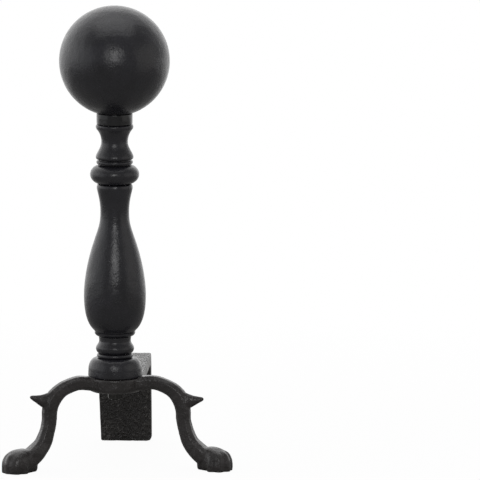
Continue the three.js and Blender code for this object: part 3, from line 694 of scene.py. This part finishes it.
def log_rest():
    """Bar and rear leg in one bent plate, softened along its edges, with a pebbled skin."""
    under = HUB_TOP - BAR_THICKNESS
    inner = REAR_REACH - REAR_THICKNESS
    side = [(BAR_START, under)]
    side += arc((inner - REAR_FILLET, under - REAR_FILLET), REAR_FILLET, REAR_FILLET, 90, 0, 6)
    side += [(inner, 0), (REAR_REACH, 0), (REAR_REACH, HUB_TOP - 0.8), (REAR_REACH - 0.8, HUB_TOP)]
    side.append((BAR_START, HUB_TOP))
    bm = extruded([(-BAR_WIDTH, y, z) for y, z in side], (2 * BAR_WIDTH, 0, 0))

    top, waist = BAR_WIDTH / 2, BAR_WIDTH / 2 + BAR_DRAFT
    toe_left, toe_right = REAR_TOE_LEAN - REAR_TOE_WIDTH / 2, REAR_TOE_LEAN + REAR_TOE_WIDTH / 2
    above, below, beside, corner = HUB_TOP + 9, -1, 90, 3.8
    left = [(toe_left + 0.9, below), (toe_left + 0.9, 0), (toe_left, 0.9), (-waist, under)]
    left += [(-top, HUB_TOP - 0.7), (0.7 - top, HUB_TOP), (0.7 - top, above)]
    left += [(-beside, above), (-beside, below)]
    right = [(toe_right - corner, below)]
    right += arc((toe_right - corner, corner), corner, corner, -90, 0, 5)
    right += [(waist, under), (top, HUB_TOP - 0.7), (top - 0.7, HUB_TOP), (top - 0.7, above)]
    right += [(beside, above), (beside, below)]
    path = (0, REAR_REACH + 40, 0)
    bm = cut(bm, [extruded([(x, -20, z) for x, z in outline], path) for outline in (left, right)])
    bm = fused(bm, 0.8, 2)
    for vert in bm.verts:
        # coarse, but nearly smooth on the flanks
        flank = abs(vert.normal.x)
        vert.co += vert.normal * (unevenness(vert.co, BAR_PEBBLES) * (1 - 0.9 * flank) - BAR_SINK)
    bm = cut(bm, [
        round_cutter(HUB_RADIUS + BAR_HUB_GAP, -10, HUB_TOP + 10),
        block((-200, -200, -50), (200, 300, 0)),
    ])
    plate = tongue(TONGUE_WIDTH / 2, HUB_TOP - TONGUE_THICKNESS, HUB_TOP - 0.15, HUB_RADIUS + 5)
    plate = cut(plate, [round_cutter(BORE, -10, HUB_TOP + 10, 48)])
    joined(bm, plate)
    turn_about_column(bm, -LOG_REST_TURN)
    return bm


new_piece("log_rest_skin", log_rest(), rough_iron, "log_rest", 50)


# ---- Tie rod, washers and nut ----------------------------------------------------------------------

def ring_of(bm, radius, height, facets):
    """Points of a circle about the column's axis."""
    points = []
    for i in range(facets):
        angle = TURN * i / facets
        points.append(bm.verts.new((radius * math.cos(angle), radius * math.sin(angle), height)))
    return points


def bridged(bm, rings):
    """Faces between each ring of points and the next."""
    count = len(rings[0])
    for lower, upper in zip(rings, rings[1:]):
        for i in range(count):
            j = (i + 1) % count
            bm.faces.new((lower[i], lower[j], upper[j], upper[i]))


def tie_rod():
    """A plain shank with a real helical thread cut on its lower end."""
    low, high = ROD_LOW.z / MM, ROD_HIGH.z / MM
    facets = 48
    bm = bmesh.new()
    heights = [low + 0.1 * i for i in range(111)]
    heights += [low + 12 + (high - 1 - low - 12) * i / 12 for i in range(13)]
    rings = []
    for height in heights:
        ring = []
        for i in range(facets):
            angle = TURN * i / facets
            phase = ((height - low) / THREAD_PITCH - i / facets) % 1
            groove = THREAD_DEPTH * abs(2 * phase - 1) if height < low + 11 else 0
            chamfer = max(0.0, 0.8 - (height - low))
            reach = ROD_RADIUS - max(groove, chamfer)
            ring.append(bm.verts.new((reach * math.cos(angle), reach * math.sin(angle), height)))
        rings.append(ring)
    rings.append(ring_of(bm, ROD_RADIUS - 0.8, high, facets))
    bridged(bm, rings)
    bm.faces.new(list(reversed(rings[0])))
    bm.faces.new(rings[-1])
    return bm


def hex_nut():
    """A hexagon with one corner to the front, its corners cut back by a cone at both ends."""
    facets = 96
    flat = NUT_ACROSS_FLATS / 2
    lower_half = [0, 0.12, 0.3, 0.5, 0.7, 0.95, 1.2]
    heights = lower_half + [NUT_HEIGHT - level for level in reversed(lower_half)]
    base = base_of("hex_nut")
    bm = bmesh.new()
    rings = []
    for level in heights:
        depth = min(level, NUT_HEIGHT - level)
        ring = []
        for i in range(facets):
            angle = TURN * i / facets
            # a corner lies on the Y axis
            folded = (angle + math.pi / 2 + math.pi / 6) % (math.pi / 3) - math.pi / 6
            hexagon = flat / math.cos(math.pi / 6 - abs(folded))
            cone = flat - 0.1 + 1.5 * depth
            reach = min(hexagon, cone)
            ring.append(bm.verts.new((reach * math.cos(angle), reach * math.sin(angle), base + level)))
        rings.append(ring)
    mouth = TAPPED + 0.6
    for level, radius in ((NUT_HEIGHT, mouth), (NUT_HEIGHT - 0.6, TAPPED), (0.6, TAPPED), (0, mouth)):
        rings.append(ring_of(bm, radius, base + level, facets))
    bridged(bm, [*rings, rings[0]])
    return bm


def lock_washer():
    """A spring washer: a square section swept almost all the way round."""
    inner, outer, height, slit = BORE, 7.0, 2.1, 1.6 / 7
    base = base_of("lock_washer")
    edge = 0.25
    section = [(inner + edge, 0), (outer - edge, 0), (outer, edge), (outer, height - edge)]
    section += [(outer - edge, height), (inner + edge, height), (inner, height - edge), (inner, edge)]
    stations = []
    for i in range(73):
        angle = math.pi / 2 + slit / 2 + (TURN - slit) * i / 72
        stations.append([Vector((r * math.cos(angle), r * math.sin(angle), base + z)) for r, z in section])
    bm = bmesh.new()
    swept(bm, stations)
    return bm


def flat_washer():
    """Turned plain, its edges broken."""
    profile = [(BORE, 0.2), (4.7, 0), (7.8, 0), (8, 0.25), (8, 1.35), (7.8, 1.6), (4.7, 1.6), (BORE, 1.4)]
    return lathed(profile, base_of("flat_washer"), 96)


new_piece("tie_rod_skin", tie_rod(), black_steel, "tie_rod", 30)
new_piece("hex_nut_skin", hex_nut(), black_steel, "hex_nut", 25)
new_piece("lock_washer_skin", lock_washer(), black_steel, "lock_washer")
new_piece("flat_washer_skin", flat_washer(), black_steel, "flat_washer")


# ---- Floor, world, lights and camera -----------------------------------------------------------------

def floor_material():
    """White to the camera, with a share of real floor near the object that keeps its shadow."""
    material = bpy.data.materials.new("studio_floor")
    material.use_nodes = True
    tree = material.node_tree
    tree.nodes.clear()
    output = tree.nodes.new("ShaderNodeOutputMaterial")
    mix = tree.nodes.new("ShaderNodeMixShader")
    diffuse = tree.nodes.new("ShaderNodeBsdfDiffuse")
    glow = tree.nodes.new("ShaderNodeEmission")
    path = tree.nodes.new("ShaderNodeLightPath")
    glow.inputs["Color"].default_value = (1, 1, 1, 1)

    # seen directly the floor is white; what it throws back onto the object is a darker share
    shade = tree.nodes.new("ShaderNodeMix")
    shade.data_type = "RGBA"
    shade.inputs[6].default_value = (*FLOOR_BOUNCE, 1)
    shade.inputs[7].default_value = (*FLOOR_SEEN, 1)
    link(tree, path.outputs["Is Camera Ray"], shade.inputs[0])
    link(tree, shade.outputs[2], diffuse.inputs["Color"])

    # the share of plain white grows with the distance from the column
    distance = tree.nodes.new("ShaderNodeVectorMath")
    distance.operation = "LENGTH"
    link(tree, tree.nodes.new("ShaderNodeTexCoord").outputs["Object"], distance.inputs[0])
    white = mapped(tree, distance.outputs["Value"], *FLOOR_FADE, FLOOR_GLOW_SHARE, 1.0)

    # the object sees the floor rise into a bright backdrop behind it
    parts = tree.nodes.new("ShaderNodeSeparateXYZ")
    link(tree, tree.nodes.new("ShaderNodeTexCoord").outputs["Object"], parts.inputs[0])
    sweep = mapped(tree, parts.outputs["Y"], *SWEEP_DEPTH, 0.0, 1.0)
    share = tree.nodes.new("ShaderNodeMix")
    link(tree, path.outputs["Is Camera Ray"], share.inputs["Factor"])
    link(tree, sweep, share.inputs["A"])
    link(tree, white, share.inputs["B"])
    link(tree, share.outputs["Result"], mix.inputs["Fac"])
    level = mapped(tree, path.outputs["Is Camera Ray"], 0.0, 1.0, SWEEP_LEVEL, 1.0)
    link(tree, level, glow.inputs["Strength"])
    link(tree, diffuse.outputs["BSDF"], mix.inputs[1])
    link(tree, glow.outputs["Emission"], mix.inputs[2])
    link(tree, mix.outputs["Shader"], output.inputs["Surface"])
    return material


def studio_world():
    """White to the camera; to the object, a room that is dim in front and bright behind."""
    world = bpy.data.worlds.new("studio")
    bpy.context.scene.world = world
    world.use_nodes = True
    tree = world.node_tree
    tree.nodes.clear()
    output = tree.nodes.new("ShaderNodeOutputWorld")
    seen = tree.nodes.new("ShaderNodeBackground")
    light = tree.nodes.new("ShaderNodeBackground")
    mix = tree.nodes.new("ShaderNodeMixShader")
    path = tree.nodes.new("ShaderNodeLightPath")
    seen.inputs["Color"].default_value = (1, 1, 1, 1)
    light.inputs["Color"].default_value = (1, 1, 1, 1)
    towards = tree.nodes.new("ShaderNodeVectorMath")
    towards.operation = "DOT_PRODUCT"
    towards.inputs[1].default_value = ROOM_BRIGHT_END
    link(tree, tree.nodes.new("ShaderNodeTexCoord").outputs["Generated"], towards.inputs[0])
    level = mapped(tree, towards.outputs["Value"], *ROOM_SPAN, *ROOM_LEVELS, "SMOOTHSTEP")
    link(tree, level, light.inputs["Strength"])
    link(tree, path.outputs["Is Camera Ray"], mix.inputs["Fac"])
    link(tree, light.outputs["Background"], mix.inputs[1])
    link(tree, seen.outputs["Background"], mix.inputs[2])
    link(tree, mix.outputs["Shader"], output.inputs["Surface"])


def softbox(name, position, width, height, radiance, colour=(1, 1, 1)):
    """A rectangular lamp that looks at the middle of the column; all in metres."""
    data = bpy.data.lights.new(name, "AREA")
    data.shape = "RECTANGLE"
    data.size, data.size_y = width, height
    data.energy = radiance * math.pi * width * height
    data.color = colour
    lamp = bpy.data.objects.new(name, data)
    bpy.context.scene.collection.objects.link(lamp)
    lamp.location = AXIS + Vector(position)
    aim = Vector((0, 0, 0.25)) - Vector(position)
    lamp.rotation_euler = aim.to_track_quat("-Z", "Y").to_euler()
    lamp.visible_camera = False


FLOOR_SIZE = 80.0
FLOOR_GLOW_SHARE = 0.95  # near the object
FLOOR_FADE = (0.3, 0.9)  # metres from the column over which it rises to all white
FLOOR_BOUNCE = (0.33, 0.325, 0.315)
FLOOR_SEEN = (0.9, 0.9, 0.9)
SWEEP_DEPTH, SWEEP_LEVEL = (0.25, 1.4), 1.2  # metres behind the column, and the brightness it reaches
ROOM_BRIGHT_END = (-0.32, 1.0, -0.1)  # behind the object, a little to the left
ROOM_SPAN, ROOM_LEVELS = (-0.3, 1.0), (0.30, 1.5)  # along that direction, from dim to bright

bm = bmesh.new()
bmesh.ops.create_grid(bm, x_segments=8, y_segments=8, size=FLOOR_SIZE / 2)
floor_mesh = bpy.data.meshes.new("studio_floor")
bm.to_mesh(floor_mesh)
bm.free()
floor = bpy.data.objects.new("studio_floor", floor_mesh)
bpy.context.scene.collection.objects.link(floor)
floor.location.z = -0.0002
floor_mesh.materials.append(floor_material())

studio_world()
softbox("left_softbox", (-1.6, -0.4, 0.6), 1.7, 1.2, 0.5, (0.95, 0.97, 1.0))
softbox("right_softbox", (1.55, -0.6, 0.6), 1.6, 1.2, 0.42, (1.0, 0.97, 0.93))
softbox("top_softbox", (0, -0.05, 1.75), 1.5, 1.1, 1.15)
softbox("front_softbox", (-0.2, -3.3, 1.42), 1.1, 1.2, 4.6)

# The photograph: far away, slightly above, and the column a quarter of the way across
CAMERA_AZIMUTH, CAMERA_ELEVATION = math.radians(-3.7), math.radians(8.2)
CAMERA_DISTANCE, PIXELS_PER_METRE = 8.0, 1072.8
COLUMN_PIXEL, AIM_HEIGHT = 114.8, 0.2122
right = Vector((math.cos(CAMERA_AZIMUTH), math.sin(CAMERA_AZIMUTH), 0))
forward = Vector((
    -math.sin(CAMERA_AZIMUTH) * math.cos(CAMERA_ELEVATION),
    math.cos(CAMERA_AZIMUTH) * math.cos(CAMERA_ELEVATION),
    -math.sin(CAMERA_ELEVATION),
))
aim = AXIS + Vector((0, 0, AIM_HEIGHT)) + right * (240 - COLUMN_PIXEL) / PIXELS_PER_METRE
camera_data = bpy.data.cameras.new("camera")
camera_data.sensor_width = 36
camera_data.lens = PIXELS_PER_METRE * CAMERA_DISTANCE / 480 * 36
camera_data.clip_end = 200
camera = bpy.data.objects.new("camera", camera_data)
bpy.context.scene.collection.objects.link(camera)
camera.location = aim - forward * CAMERA_DISTANCE
camera.rotation_euler = (math.pi / 2 - CAMERA_ELEVATION, 0, CAMERA_AZIMUTH)
bpy.context.scene.camera = camera
bpy.context.scene.view_settings.view_transform = "Standard"
